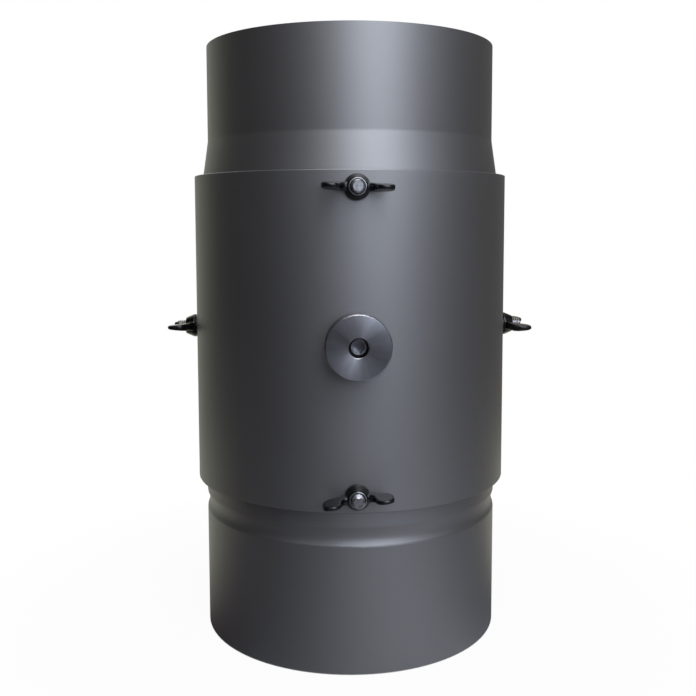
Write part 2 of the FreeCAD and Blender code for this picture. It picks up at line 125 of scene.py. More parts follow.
@dataclass(frozen=True)
class Finish:
    """A surface finish: a base colour that drifts, a grain, and scuffs down to another colour."""

    name: str
    colour: str
    drift_colour: str
    drift_mm: float
    roughness: float
    roughness_drift: float
    grain_mm: float
    grain_height_mm: float
    metallic: float = 0.0
    specular: float = 0.5
    ior: float = 1.5
    stretch: tuple[float, float, float] = (1.0, 1.0, 1.0)
    anisotropy: float = 0.0
    turned_about: Optional[tuple[float, float, float]] = None
    ray_radius_mm: float = 15.0
    scuff_colour: Optional[str] = None
    scuff_share: float = 0.0
    scuff_mm: float = 9.0

    def material(self) -> bpy.types.Material:
        """Build the finish as a node material.

        Returns:
            The material, named for the finish.
        """
        material = bare_material(self.name)
        tree = material.node_tree
        place = add_node(tree, "TexCoord").outputs["Object"]
        centre = self.turned_about or (0.0, 0.0, 0.0)
        local = add_node(tree, "Mapping", {"Location": tuple(-c for c in centre)},
                         {"Vector": place}).outputs[0]
        stretched = add_node(tree, "Mapping", {"Scale": self.stretch}, {"Vector": local})
        cloud = add_node(tree, "TexNoise", {"Scale": per_metre(self.drift_mm), "Detail": 4.0},
                         {"Vector": self.drift_path(tree, place, local)}).outputs["Fac"]
        grain = add_node(tree, "TexNoise", {"Scale": per_metre(self.grain_mm), "Detail": 3.0},
                         {"Vector": self.grain_path(tree, local, stretched.outputs[0])})
        colour = add_node(tree, "Mix", {6: to_linear(self.colour),
                                        7: to_linear(self.drift_colour)},
                          {0: self.sharpened(tree, cloud, 0.35, 0.65)},
                          data_type="RGBA").outputs[2]
        low, high = self.roughness - self.roughness_drift, self.roughness + self.roughness_drift
        rough = add_node(tree, "MapRange", {1: 0.3, 2: 0.7, 3: low, 4: high},
                         {0: grain.outputs["Fac"]}).outputs[0]
        if self.scuff_colour:
            scuffs = self.scuffs(tree, place)
            colour = add_node(tree, "Mix", {7: to_linear(self.scuff_colour)},
                              {0: scuffs, 6: colour}, data_type="RGBA").outputs[2]
        bump = add_node(tree, "Bump", {"Strength": 1.0, "Distance": self.grain_height_mm * MM},
                        {"Height": grain.outputs["Fac"]})
        links = {"Base Color": colour, "Roughness": rough, "Normal": bump.outputs[0]}
        if self.anisotropy and self.turned_about:
            links["Tangent"] = add_node(tree, "VectorMath", {1: (1.0, 0.0, 1.0)}, {0: local},
                                        operation="MULTIPLY").outputs[0]
        shader = add_node(tree, "BsdfPrincipled", {
            "Metallic": self.metallic,
            "Specular IOR Level": self.specular,
            "IOR": self.ior,
            "Anisotropic": self.anisotropy,
        }, links)
        add_node(tree, "OutputMaterial", links={"Surface": shader.outputs[0]})
        return material

    def sharpened(self, tree: bpy.types.NodeTree, value: bpy.types.NodeSocket, low: float,
                  high: float) -> bpy.types.NodeSocket:
        """Stretch a soft noise between two of its levels to run from 0 to 1."""
        return add_node(tree, "MapRange", {1: low, 2: high}, {0: value}).outputs[0]

    def drift_path(self, tree: bpy.types.NodeTree, place: bpy.types.NodeSocket,
                   local: bpy.types.NodeSocket) -> bpy.types.NodeSocket:
        """Coordinates of the drift: rays from the turning centre on turned work.

        Args:
            tree: The material's node tree.
            place: The object coordinates.
            local: The same coordinates from the turning centre.

        Returns:
            The socket that the drift's noise reads.
        """
        if not self.turned_about:
            return place
        ray = add_node(tree, "VectorMath", {}, {0: local}, operation="NORMALIZE").outputs[0]
        rim = add_node(tree, "VectorMath", {"Scale": self.ray_radius_mm * MM}, {0: ray},
                       operation="SCALE").outputs[0]
        inwards = add_node(tree, "VectorMath", {"Scale": 0.25}, {0: local},
                           operation="SCALE").outputs[0]
        return add_node(tree, "VectorMath", {}, {0: rim, 1: inwards}, operation="ADD").outputs[0]

    def grain_path(self, tree: bpy.types.NodeTree, local: bpy.types.NodeSocket,
                   stretched: bpy.types.NodeSocket) -> bpy.types.NodeSocket:
        """Coordinates of the grain: rings about the turning axis on turned work.

        Args:
            tree: The material's node tree.
            local: Object coordinates from the turning centre.
            stretched: The same coordinates, stretched along the grain.

        Returns:
            The socket that the grain's noise reads.
        """
        if not self.turned_about:
            return stretched
        flat = add_node(tree, "VectorMath", {1: (1.0, 0.0, 1.0)}, {0: local},
                        operation="MULTIPLY").outputs[0]
        radius = add_node(tree, "VectorMath", {}, {0: flat}, operation="LENGTH").outputs["Value"]
        return add_node(tree, "CombineXYZ", {}, {"X": radius}).outputs[0]

    def scuffs(self, tree: bpy.types.NodeTree,
               place: bpy.types.NodeSocket) -> bpy.types.NodeSocket:
        """Small specks and rubbed spots, gathered where a larger noise is high.

        Args:
            tree: The material's node tree.
            place: The object coordinates.

        Returns:
            A socket that is 1 on a scuff and 0 elsewhere.
        """
        specks = add_node(tree, "TexNoise", {"Scale": per_metre(self.scuff_mm * 0.12),
                                             "Detail": 2.0}, {"Vector": place})
        patches = add_node(tree, "TexNoise", {"Scale": per_metre(self.scuff_mm), "Detail": 1.0},
                           {"Vector": place})
        product = add_node(tree, "Math", {}, {0: specks.outputs["Fac"],
                                              1: patches.outputs["Fac"]}, operation="MULTIPLY")
        edge = 0.46 - self.scuff_share
        return self.sharpened(tree, product.outputs[0], edge, edge + 0.03)


knob_low, knob_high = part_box("knob")
knob_centre = (knob_low + knob_high) / 2
knob_front = Vector((knob_centre.x, knob_low.y, knob_centre.z))

# Heat-resistant satin paint with metal flake, sprayed on rolled steel: a soft charcoal
# sheen, strong for a paint because of the flake, with a few faint rubbed specks
STOVE_PAINT = Finish("satin_stove_paint", "#1d1a1b", "#211f20", drift_mm=38.0, roughness=0.49,
                     roughness_drift=0.03, grain_mm=0.55, grain_height_mm=0.006, specular=1.0,
                     ior=2.4, scuff_colour="#4b4a4a", scuff_share=-0.06)
# Electroplated black zinc on cast steel: near black, with small sharp lights. In the knob's
# recess and round its screw head it is painted shade
BLACK_ZINC_AND_SHADE = Finish("black_zinc", "#060708", "#0c0e0f", drift_mm=6.0, roughness=0.24,
                    roughness_drift=0.05, grain_mm=0.5, grain_height_mm=0.012, specular=0.6,
                    scuff_colour="#3a3d40", scuff_mm=5.0)
# Steel turned on a lathe, then blackened: grey rings that fan the light
TURNED_STEEL = Finish("turned_blackened_steel", "#76777b", "#96979d", drift_mm=13.0,
                      roughness=0.38, roughness_drift=0.06, grain_mm=0.35,
                      grain_height_mm=0.004, metallic=0.9, anisotropy=0.7,
                      turned_about=tuple(knob_front), scuff_colour="#7b7c82", scuff_mm=6.0)
# The same steel where handling has worn the blackening off its edges: bare and bright
WORN_STEEL = Finish("worn_steel_edge", "#c4c5cb", "#a6a7ad", drift_mm=2.0, roughness=0.33,
                    roughness_drift=0.06, grain_mm=0.35, grain_height_mm=0.004, metallic=1.0)
# The paint rubbed thin on a cut edge, with patches of bare steel; its paleness on the
# upward-facing rims only is also a painted highlight
RUBBED_EDGE_AND_HIGHLIGHT = Finish("rubbed_edge_and_painted_highlight", "#8a8b90", "#97989d", drift_mm=12.0, roughness=0.36,
                     roughness_drift=0.05, grain_mm=0.55, grain_height_mm=0.004, metallic=0.8,
                     specular=0.8, scuff_colour="#b0b2b8", scuff_share=0.16, scuff_mm=30.0)
# Black oxide on an alloy steel screw: matt dark grey with an oily glint
BLACK_OXIDE = Finish("black_oxide_steel", "#77787d", "#85868b", drift_mm=2.0, roughness=0.34,
                     roughness_drift=0.06, grain_mm=0.3, grain_height_mm=0.006, metallic=0.9)
# Bright zinc on rolled threads: pale cold metal, dulled in the roots
BRIGHT_ZINC = Finish("bright_zinc", "#bdbec0", "#8f9092", drift_mm=1.3, roughness=0.36,
                     roughness_drift=0.08, grain_mm=0.4, grain_height_mm=0.012, metallic=1.0)
# Cold-rolled stainless sheet: drawn out along its length, slightly warm
ROLLED_STAINLESS = Finish("rolled_stainless", "#8e8b86", "#7b7772", drift_mm=26.0,
                          roughness=0.34, roughness_drift=0.07, grain_mm=0.5,
                          grain_height_mm=0.004, metallic=1.0, stretch=(1.0, 1.0, 12.0))
# Woven glass cord pressed flat: dark matt fibre with a coarse weave
GLASS_CORD = Finish("woven_glass_cord", "#2a2927", "#383632", drift_mm=4.0, roughness=0.85,
                    roughness_drift=0.05, grain_mm=1.1, grain_height_mm=0.25, specular=0.2)
# Pressed ceramic fibre mat: off-white and dull
FIBRE_MAT = Finish("ceramic_fibre_mat", "#cfc8ba", "#b8afa0", drift_mm=8.0, roughness=0.9,
                   roughness_drift=0.04, grain_mm=0.6, grain_height_mm=0.15, specular=0.2,
                   stretch=(1.0, 1.0, 0.25))
# Extruded ceramic under a precious metal washcoat: matt grey brown, a little sooty
COATED_CERAMIC = Finish("washcoated_ceramic", "#75685a", "#5a4f46", drift_mm=11.0,
                        roughness=0.82, roughness_drift=0.06, grain_mm=0.8,
                        grain_height_mm=0.05, specular=0.3)


class Side(Enum):
    """Where a stud stands on the hatch."""

    TOP = "top"
    BOTTOM = "bottom"
    LEFT = "left"
    RIGHT = "right"

    @property
    def nut_node(self) -> str:
        """The name of this side's wing nut."""
        return "wing_nut_" + self.value

    @property
    def outward(self) -> Vector:
        """The direction away from the flue axis."""
        return {Side.LEFT: Vector((-1, 0, 0)),
                Side.RIGHT: Vector((1, 0, 0))}.get(self, Vector((0, -1, 0)))

    @property
    def angle(self) -> float:
        """The turn about the flue axis from the front, in radians."""
        return math.radians({Side.LEFT: -90, Side.RIGHT: 90}.get(self, 0))


def facing_out(angle: float, height: float, turn: float = 0.0) -> Matrix:
    """Place a shape made about +Z so that its +Z points out of the flue.

    Args:
        angle: The turn about the flue axis from the front, in radians.
        height: The height above the bottom rim, in metres.
        turn: A turn of the shape about its own axis, in radians.

    Returns:
        The matrix that turns and lifts the shape.
    """
    return (Matrix.Translation((0, 0, height)) @ Matrix.Rotation(angle, 4, "Z")
            @ Matrix.Rotation(math.pi / 2, 4, "X") @ Matrix.Rotation(turn, 4, "Z"))


def spun(outline: Outline, steps: int) -> bmesh.types.BMesh:
    """Spin a closed outline a full turn about Z.

    Args:
        outline: Corners as (radius, height), in millimetres.
        steps: How many steps make the turn.

    Returns:
        A closed mesh with its faces outwards.
    """
    mesh = bmesh.new()
    corners = [mesh.verts.new((radius * MM, 0, height * MM)) for radius, height in outline]
    edges = [mesh.edges.new(pair) for pair in zip(corners, corners[1:] + corners[:1])]
    bmesh.ops.spin(mesh, geom=corners + edges, cent=(0, 0, 0), axis=(0, 0, 1),
                   angle=math.tau, steps=steps, use_merge=True)
    bmesh.ops.remove_doubles(mesh, verts=mesh.verts[:], dist=0.0002 * MM)
    bmesh.ops.dissolve_degenerate(mesh, edges=mesh.edges[:], dist=0.0001 * MM)
    bmesh.ops.recalc_face_normals(mesh, faces=mesh.faces[:])
    return mesh


def soften(mesh: bmesh.types.BMesh, width: float, segments: int = 2,
           sharper_than: float = 25.0) -> None:
    """Bevel every edge that is sharper than an angle.

    Args:
        mesh: The mesh to change.
        width: The bevel's width in millimetres.
        segments: Steps across the bevel.
        sharper_than: The least angle between two faces, in degrees.
    """
    limit = math.radians(sharper_than)
    edges = [edge for edge in mesh.edges
             if len(edge.link_faces) == 2 and edge.calc_face_angle(0.0) > limit]
    bmesh.ops.bevel(mesh, geom=edges, offset=width * MM, offset_type="OFFSET",
                    segments=segments, profile=0.5, affect="EDGES", clamp_overlap=False,
                    material=-1)


def join(group: bmesh.types.BMesh, mesh: bmesh.types.BMesh,
         place: Matrix = Matrix.Identity(4)) -> None:
    """Put a mesh into a group and free it.

    Args:
        group: The mesh that collects others.
        mesh: The mesh to add, with its material indices.
        place: Where it goes in the group.
    """
    bmesh.ops.transform(mesh, matrix=place, verts=mesh.verts[:])
    data = as_data("joined", mesh)
    group.from_mesh(data)
    bpy.data.meshes.remove(data)


def as_piece(name: str, mesh: bmesh.types.BMesh, place: Matrix, body: str,
             materials: Iterable[bpy.types.Material],
             replaced: Iterable[str] = ()) -> bpy.types.Object:
    """Turn a mesh into a finished piece of the model.

    Args:
        name: The piece's name.
        mesh: The mesh, about its own axis. It is freed.
        place: Where the piece goes, in metres.
        body: The body that the piece rides on.
        materials: The materials, in the order of the faces' indices.
        replaced: The nodes that the piece stands for.

    Returns:
        The object, at the origin with its place in its mesh.
    """
    bmesh.ops.transform(mesh, matrix=place, verts=mesh.verts[:])
    data = as_data(name, mesh)
    data.shade_smooth()
    data.set_sharp_from_angle(angle=SHARP_ANGLE)
    for material in materials:
        data.materials.append(material)
    piece = in_scene(name, data)
    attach(piece, body)
    if replaced:
        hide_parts(*replaced)
    log.info("%s: %d faces on %s", name, len(data.polygons), body)
    return piece


class Palette:
    """One material for each finish, built when it is first asked for."""

    def __init__(self) -> None:
        """Start with no material built."""
        self.built: dict[str, bpy.types.Material] = {}

    def of(self, finish: Finish) -> bpy.types.Material:
        """The material of a finish.

        Args:
            finish: The finish to look up.

        Returns:
            Its material, the same one each time.
        """
        if finish.name not in self.built:
            self.built[finish.name] = finish.material()
        return self.built[finish.name]


@dataclass
class WingNut:
    """Cast wing nut: a conical hub with a bare top face and two paddle wings."""

    palette: Palette
    base_radius: float = 6.05
    base_rim: float = 0.9
    top_radius: float = 4.25
    hub_height: float = 5.2
    bore_radius: float = 3.1
    tip_reach: float = 16.25
    wing_height: float = 13.3
    wing_thickness: float = 2.6
    root_share: float = 1.75
    tip_share: float = 0.7
    wing_softening: float = 0.75
    voxel: float = 0.26
    smoothing_passes: int = 6
    ring_depth: float = 0.5
    ring_rise: float = 0.05
    turns: ClassVar[dict[Side, float]] = {Side.TOP: -2.0, Side.BOTTOM: 6.0, Side.LEFT: 1.5,
                                          Side.RIGHT: 4.0}

    def build(self) -> None:
        """Cast one nut and seat a copy of it on each stud."""
        casting = self.cast()
        for side in Side:
            low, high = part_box(side.nut_node)
            height = (low.z + high.z) / 2
            seat = min(abs(low.dot(side.outward)), abs(high.dot(side.outward)))
            place = (facing_out(side.angle, height, math.radians(self.turns[side]))
                     @ Matrix.Translation((0, 0, seat)))
            mesh = bmesh.new()
            mesh.from_mesh(casting)
            as_piece(side.value + "_wing_nut", mesh, place, side.value + "_nut",
                     [self.palette.of(BLACK_ZINC_AND_SHADE), self.palette.of(BRIGHT_ZINC)],
                     [side.nut_node])
        bpy.data.meshes.remove(casting)

    def hub(self) -> bmesh.types.BMesh:
        """The hub, a cone with a rim at its foot and a bore through it."""
        return spun([(self.bore_radius, 0), (self.base_radius, 0),
                     (self.base_radius, self.base_rim),
                     (self.top_radius, self.hub_height), (self.bore_radius, self.hub_height)], 64)

    def wing(self) -> bmesh.types.BMesh:
        """One wing: a flat outline with rounded corners, thickened and softened."""
        mesh = bmesh.new()
        half = self.wing_thickness / 2
        # Each corner's reach, height and bend radius
        corners = [(3.2, 0.5, 0.0), (8.2, 1.3, 1.2), (self.tip_reach, 4.2, 3.4),
                   (self.tip_reach, self.wing_height, 3.8), (8.8, self.wing_height, 2.6),
                   (6.8, 5.0, 1.2), (3.2, 4.2, 0.0)]
        verts = [mesh.verts.new((x * MM, -half * MM, z * MM)) for x, z, bend in corners]
        mesh.faces.new(verts)
        for vert, (x, z, bend) in zip(verts, corners):
            if bend:
                bmesh.ops.bevel(mesh, geom=[vert], offset=bend * MM, offset_type="OFFSET",
                                segments=7, profile=0.5, affect="VERTICES", clamp_overlap=True,
                                material=-1)
        grown = bmesh.ops.extrude_face_region(mesh, geom=mesh.faces[:], use_keep_orig=True)
        moved = [item for item in grown["geom"] if isinstance(item, bmesh.types.BMVert)]
        bmesh.ops.translate(mesh, verts=moved, vec=(0, self.wing_thickness * MM, 0))
        bmesh.ops.recalc_face_normals(mesh, faces=mesh.faces[:])
        soften(mesh, self.wing_softening, 3, 60)
        fall = self.root_share - self.tip_share
        for vert in mesh.verts:
            vert.co.y *= self.root_share - fall * vert.co.z / (self.wing_height * MM)
        return mesh

    def cast(self) -> bpy.types.Mesh:
        """Join hub and wings into one casting with fillets where they meet.

        Returns:
            The casting's mesh about its own axis, with the bare ring on its top.
        """
        whole = self.hub()
        for turn in (0.0, math.pi):
            join(whole, self.wing(), Matrix.Rotation(turn, 4, "Z"))
        rough = as_data("nut_casting", whole)
        holder = in_scene("nut_casting", rough)
        remesh = holder.modifiers.new("cast", "REMESH")
        remesh.mode = "VOXEL"
        remesh.voxel_size = self.voxel * MM
        graph = bpy.context.evaluated_depsgraph_get()
        cast = bpy.data.meshes.new_from_object(holder.evaluated_get(graph))
        bpy.data.objects.remove(holder)
        bpy.data.meshes.remove(rough)
        mesh = bmesh.new()
        mesh.from_mesh(cast)
        for _ in range(self.smoothing_passes):
            bmesh.ops.smooth_vert(mesh, verts=mesh.verts[:], factor=0.5, use_axis_x=True,
                                  use_axis_y=True, use_axis_z=True)
        bottom = self.hub_height - self.ring_depth
        top = self.hub_height + self.ring_rise
        ring = spun([(self.bore_radius, bottom), (self.top_radius - 0.15, bottom),
                     (self.top_radius - 0.15, top - 0.15), (self.top_radius - 0.4, top),
                     (self.bore_radius + 0.45, top), (self.bore_radius, top - 0.35)], 64)
        for face in ring.faces:
            face.material_index = 1
        join(mesh, ring)
        mesh.to_mesh(cast)
        mesh.free()
        return cast


@dataclass
class HatchFasteners:
    """The four threaded studs and the flat washers under the wing nuts."""

    palette: Palette
    radius: float = 3.0
    pitch: float = 1.0
    foot: float = 77.0
    thread_start: float = 79.0
    end_chamfer: float = 0.7
    root_run: float = 0.3
    washer_radius: float = 6.0
    washer_bore: float = 3.5
    washer_softening: float = 0.25
    depth_share: float = 0.6134
    # A metric thread's flats and flanks, as shares of its depth and of its pitch
    profile: ClassVar[Outline] = ((0.0, 0.0), (0.0, 0.25), (1.0, 0.5625), (1.0, 0.6875),
                                  (0.0, 1.0))

    def build(self) -> None:
        """Build the studs and the washers, each as one group."""
        studs = bmesh.new()
        washers = bmesh.new()
        for side in Side:
            low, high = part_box(side.nut_node)
            height = (low.z + high.z) / 2
            place = facing_out(side.angle, height)
            join(studs, self.stud(), place)
            join(washers, self.washer(), place)
        still = Matrix.Identity(4)
        as_piece("threaded_studs", studs, still, "pipe",
                 [self.palette.of(BRIGHT_ZINC)], ["hatch_studs"])
        as_piece("flat_washers", washers, still, "pipe",
                 [self.palette.of(BLACK_ZINC_AND_SHADE)], ["stud_washers"])

    def stud(self) -> bmesh.types.BMesh:
        """A rolled thread from the pipe's wall to the chamfered end.

        Returns:
            The stud about +Z, with its heights measured from the flue axis.
        """
        end = -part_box("hatch_studs")[0].y / MM
        depth = self.depth_share * self.pitch
        root = self.radius - depth
        pitch = self.pitch
        steps = 36
        turns = math.ceil((end - self.thread_start) / pitch) + 2
        mesh = bmesh.new()
        foot = self.thread_start - pitch
        verts = [mesh.verts.new(((root + rise * depth) * MM, 0, (foot + share * pitch) * MM))
                 for rise, share in self.profile]
        edges = [mesh.edges.new(pair) for pair in zip(verts, verts[1:])]
        bmesh.ops.spin(mesh, geom=verts + edges, cent=(0, 0, 0), axis=(0, 0, 1),
                       dvec=(0, 0, pitch * MM / steps), angle=math.tau * turns,
                       steps=steps * turns)
        bmesh.ops.remove_doubles(mesh, verts=mesh.verts[:], dist=0.002 * MM)
        for height, away in ((self.thread_start, -1), (end, 1)):
            bmesh.ops.bisect_plane(mesh, geom=mesh.verts[:] + mesh.edges[:] + mesh.faces[:],
                                   dist=0.0001 * MM, plane_co=(0, 0, height * MM),
                                   plane_no=(0, 0, away), clear_outer=True)
        open_edges = [edge for edge in mesh.edges if edge.is_boundary]
        bmesh.ops.holes_fill(mesh, edges=open_edges, sides=0)
        taper_foot = (end - self.end_chamfer) * MM
        for vert in mesh.verts:
            past = vert.co.z - taper_foot
            reach = vert.co.xy.length
            limit = self.radius * MM - past
            if past > 0 and reach > limit:
                vert.co.xy *= limit / reach
        bmesh.ops.recalc_face_normals(mesh, faces=mesh.faces[:])
        join(mesh, self.foot_rod(root))
        return mesh

    def foot_rod(self, root: float) -> bmesh.types.BMesh:
        """The plain foot of a stud, welded to the pipe."""
        return spun([(0, self.foot), (self.radius, self.foot),
                     (self.radius, self.thread_start),
                     (root, self.thread_start + self.root_run),
                     (0, self.thread_start + self.root_run)], 36)

    def washer(self) -> bmesh.types.BMesh:
        """A flat washer with its edges rounded by stamping."""
        seat = -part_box("stud_washers")[0].y / MM
        cover = -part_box("hatch_cover")[0].y / MM
        mesh = spun([(self.washer_bore, cover), (self.washer_radius, cover),
                     (self.washer_radius, seat), (self.washer_bore, seat)], 64)
        soften(mesh, self.washer_softening)
        return mesh


@dataclass
class Knob:
    """The turned knob and its socket head screw."""

    palette: Palette
    edge_chamfer: float = 0.5
    taper_length: float = 3.0
    back_radius: float = 12.5
    recess_radius: float = 4.4
    recess_depth: float = 6.2
    recess_chamfer: float = 0.35
    screw_radius: float = 2.5
    head_radius: float = 4.2
    head_height: float = 3.5
    shoulder: float = 0.8
    socket_rim: float = 0.4
    socket_width: float = 5.0
    socket_depth: float = 2.4
    socket_turn: float = 15.0
    softening: float = 0.12
    overlap: float = 0.1
    tolerance: float = 0.05

    def build(self) -> None:
        """Build the knob and its screw."""
        place = facing_out(0.0, knob_centre.z)
        # The knob's third material and the screw's second are the near-black zinc, used as
        # painted shade
        as_piece("turned_knob", self.disc(), place, "filter",
                 [self.palette.of(TURNED_STEEL), self.palette.of(WORN_STEEL),
                  self.palette.of(BLACK_ZINC_AND_SHADE)], ["knob"])
        as_piece("socket_screw", self.screw(), place, "filter",
                 [self.palette.of(BLACK_OXIDE), self.palette.of(BLACK_ZINC_AND_SHADE)], ["knob_screw"])

    def disc(self) -> bmesh.types.BMesh:
        """The knob's disc with its recess, seat and tapered back, and painted shade in its
        recess.
        """
        radius = (knob_high.x - knob_low.x) / 2 / MM
        front = -knob_low.y / MM
        back = -knob_high.y / MM
        floor = front - self.recess_depth
        mesh = spun([(self.screw_radius, back), (self.back_radius, back),
                     (radius, back + self.taper_length), (radius, front - self.edge_chamfer),
                     (radius - self.edge_chamfer, front),
                     (self.recess_radius + self.recess_chamfer, front),
                     (self.recess_radius, front - self.recess_chamfer),
                     (self.recess_radius, floor), (self.screw_radius, floor)], 128)
        worn = (front - self.recess_chamfer - self.tolerance, front - self.tolerance)
        for face in mesh.faces:
            centre = face.calc_center_median() / MM
            on_rim = centre.xy.length > radius - self.edge_chamfer
            if worn[0] < centre.z < worn[1] or (on_rim and centre.z > front - self.edge_chamfer):
                face.material_index = 1
            elif centre.z < front - self.recess_chamfer and not on_rim:
                # The recess's wall and floor are painted near black: painted shade, as the hole
                # lies in shadow
                in_shaded_recess = centre.xy.length < self.recess_radius + self.tolerance
                face.material_index = 2 if in_shaded_recess else 0
        soften(mesh, self.softening, 2, 20)
        return mesh

    def screw(self) -> bmesh.types.BMesh:
        """The screw: a plain shank and a head with a six-sided socket, with painted shade round
        the head's rim.

        Returns:
            The screw about +Z, with its heights measured from the flue axis.
        """
        low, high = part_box("knob_screw")
        top = -low.y / MM
        shank_end = -high.y / MM
        seat = top - self.head_height
        mesh = bmesh.new()
        bmesh.ops.create_cone(mesh, cap_ends=True, segments=48, radius1=self.head_radius * MM,
                              radius2=self.head_radius * MM, depth=self.head_height * MM)
        bmesh.ops.translate(mesh, verts=mesh.verts[:],
                            vec=(0, 0, (seat + self.head_height / 2) * MM))
        lid = max(mesh.faces, key=lambda face: face.calc_center_median().z)
        for width in (self.shoulder, self.socket_rim):
            bmesh.ops.inset_region(mesh, faces=[lid], thickness=width * MM,
                                   use_even_offset=True)
        sixth = math.pi / 3
        for vert in lid.verts:
            angle = math.atan2(vert.co.y, vert.co.x)
            off_flat = (angle - math.radians(self.socket_turn)) % sixth
            reach = self.socket_width / 2 / math.cos(min(off_flat, sixth - off_flat))
            vert.co.xy = Vector((math.cos(angle), math.sin(angle))) * reach * MM
        sunk = bmesh.ops.extrude_face_region(mesh, geom=[lid])
        floor = [item for item in sunk["geom"] if isinstance(item, bmesh.types.BMVert)]
        bmesh.ops.delete(mesh, geom=[lid], context="FACES_ONLY")
        bmesh.ops.translate(mesh, verts=floor, vec=(0, 0, -self.socket_depth * MM))
        bmesh.ops.recalc_face_normals(mesh, faces=mesh.faces[:])
        soften(mesh, self.softening, 2, 40)
        # The head's outer ring gets the near-black zinc: painted shade in the gap round the head
        for face in mesh.faces:
            reach = face.calc_center_median().xy.length / MM
            face.material_index = 1 if reach > self.head_radius - self.shoulder else 0
        inside = seat + self.overlap
        join(mesh, spun([(0, shank_end), (self.screw_radius, shank_end),
                         (self.screw_radius, inside), (0, inside)], 32))
        return mesh


@dataclass
class HatchCover:
    """The rolled hatch cover, cut flat, bent about the flue and softened at its rims."""

    palette: Palette
    wall: float = 2.0
    corner_radius: float = 22.0
    stud_hole: float = 3.5
    bush_hole: float = 7.1
    strip_angle: float = 1.5
    rim_softening: float = 0.45
    bend_share: float = 0.999
    rub_and_highlight_slope: float = 0.3
    radius: float = field(init=False)
    low: float = field(init=False)
    high: float = field(init=False)
    middle: float = field(init=False)
    half_angle: float = field(init=False)

    def build(self) -> None:
        """Cut, bend and thicken the cover, at the size of its node."""
        low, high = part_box("hatch_cover")
        self.radius = -low.y / MM
        self.low = low.z / MM
        self.high = high.z / MM
        self.half_angle = math.acos(-high.y / -low.y)
        self.middle = knob_centre.z / MM
        mesh = self.blank()
        self.bend(mesh)
        self.thicken(mesh)
        cover = as_piece("rolled_cover", mesh, Matrix.Identity(4), "pipe",
                         [self.palette.of(STOVE_PAINT), self.palette.of(RUBBED_EDGE_AND_HIGHLIGHT)],
                         ["hatch_cover"])
        even = cover.modifiers.new("even_shading", "WEIGHTED_NORMAL")
        even.keep_sharp = True

    def blank(self) -> bmesh.types.BMesh:
        """The flat blank, in millimetres of arc along X and of height along Z.

        Returns:
            The blank's outline and holes, filled and divided into strips.
        """
        reach = self.half_angle * self.radius
        slot = Side.RIGHT.angle * self.radius
        hole = self.stud_hole
        half = [(0, self.low, 0), (reach, self.low, self.corner_radius),
                (reach, self.middle - hole, 0), (slot - hole, self.middle - hole, hole),
                (slot - hole, self.middle + hole, hole), (reach, self.middle + hole, 0),
                (reach, self.high, self.corner_radius), (0, self.high, 0)]
        mirrored = [(-x, z, bend) for x, z, bend in reversed(half) if x]
        corners = half + mirrored
        mesh = bmesh.new()
        verts = [mesh.verts.new((x * MM, 0, z * MM)) for x, z, bend in corners]
        mesh.faces.new(verts)
        for vert, (x, z, bend) in zip(verts, corners):
            if bend:
                bmesh.ops.bevel(mesh, geom=[vert], offset=bend * self.bend_share * MM,
                                offset_type="OFFSET", segments=16 if bend > hole else 12,
                                profile=0.5, affect="VERTICES", clamp_overlap=False,
                                material=-1)
        bmesh.ops.delete(mesh, geom=mesh.faces[:], context="FACES_ONLY")
        for side in (Side.TOP, Side.BOTTOM):
            nut_low, nut_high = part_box(side.nut_node)
            self.punch(mesh, hole, (nut_low.z + nut_high.z) / 2)
        self.punch(mesh, self.bush_hole, self.middle * MM)
        bmesh.ops.triangle_fill(mesh, use_beauty=True, edges=mesh.edges[:],
                                normal=(0, -1, 0))
        strips = math.floor(self.half_angle / math.radians(self.strip_angle))
        for strip in range(-strips, strips + 1):
            x = math.radians(strip * self.strip_angle) * self.radius * MM
            bmesh.ops.bisect_plane(mesh, geom=mesh.verts[:] + mesh.edges[:] + mesh.faces[:],
                                   dist=0.01 * MM, plane_co=(x, 0, 0), plane_no=(1, 0, 0))
        bmesh.ops.remove_doubles(mesh, verts=mesh.verts[:], dist=0.05 * MM)
        return mesh

    def punch(self, mesh: bmesh.types.BMesh, radius: float, height: float) -> None:
        """Add the rim of a round hole to the blank.

        Args:
            mesh: The blank.
            radius: The hole's radius in millimetres.
            height: The hole's height in metres.
        """
        place = Matrix.Translation((0, 0, height)) @ Matrix.Rotation(math.pi / 2, 4, "X")
        bmesh.ops.create_circle(mesh, cap_ends=False, segments=40, radius=radius * MM,
                                matrix=place)

    def bend(self, mesh: bmesh.types.BMesh) -> None:
        """Roll the flat blank about the flue axis, at the cover's outer radius."""
        radius = self.radius * MM
        for vert in mesh.verts:
            angle = vert.co.x / radius
            vert.co.xy = (radius * math.sin(angle), -radius * math.cos(angle))

    def thicken(self, mesh: bmesh.types.BMesh) -> None:
        """Give the sheet its wall, inwards, round its rims, and paint a highlight on the rims
        that face up.
        """
        bmesh.ops.recalc_face_normals(mesh, faces=mesh.faces[:])
        grown = bmesh.ops.extrude_face_region(mesh, geom=mesh.faces[:], use_keep_orig=True)
        inner = [item for item in grown["geom"] if isinstance(item, bmesh.types.BMVert)]
        share = (self.radius - self.wall) / self.radius
        for vert in inner:
            vert.co.xy *= share
        bmesh.ops.recalc_face_normals(mesh, faces=mesh.faces[:])
        soften(mesh, self.rim_softening, 3, 50)
        outer = (self.radius - self.rim_softening) * MM
        # Rim faces that face up get the paler rubbed finish: wear, and a painted highlight where
        # light from above would catch the edge
        for face in mesh.faces:
            small = min(edge.calc_length() for edge in face.edges) < self.rim_softening * MM
            on_edge = small and face.calc_center_median().xy.length > outer
            face.material_index = 1 if on_edge and face.normal.z > self.rub_and_highlight_slope else 0


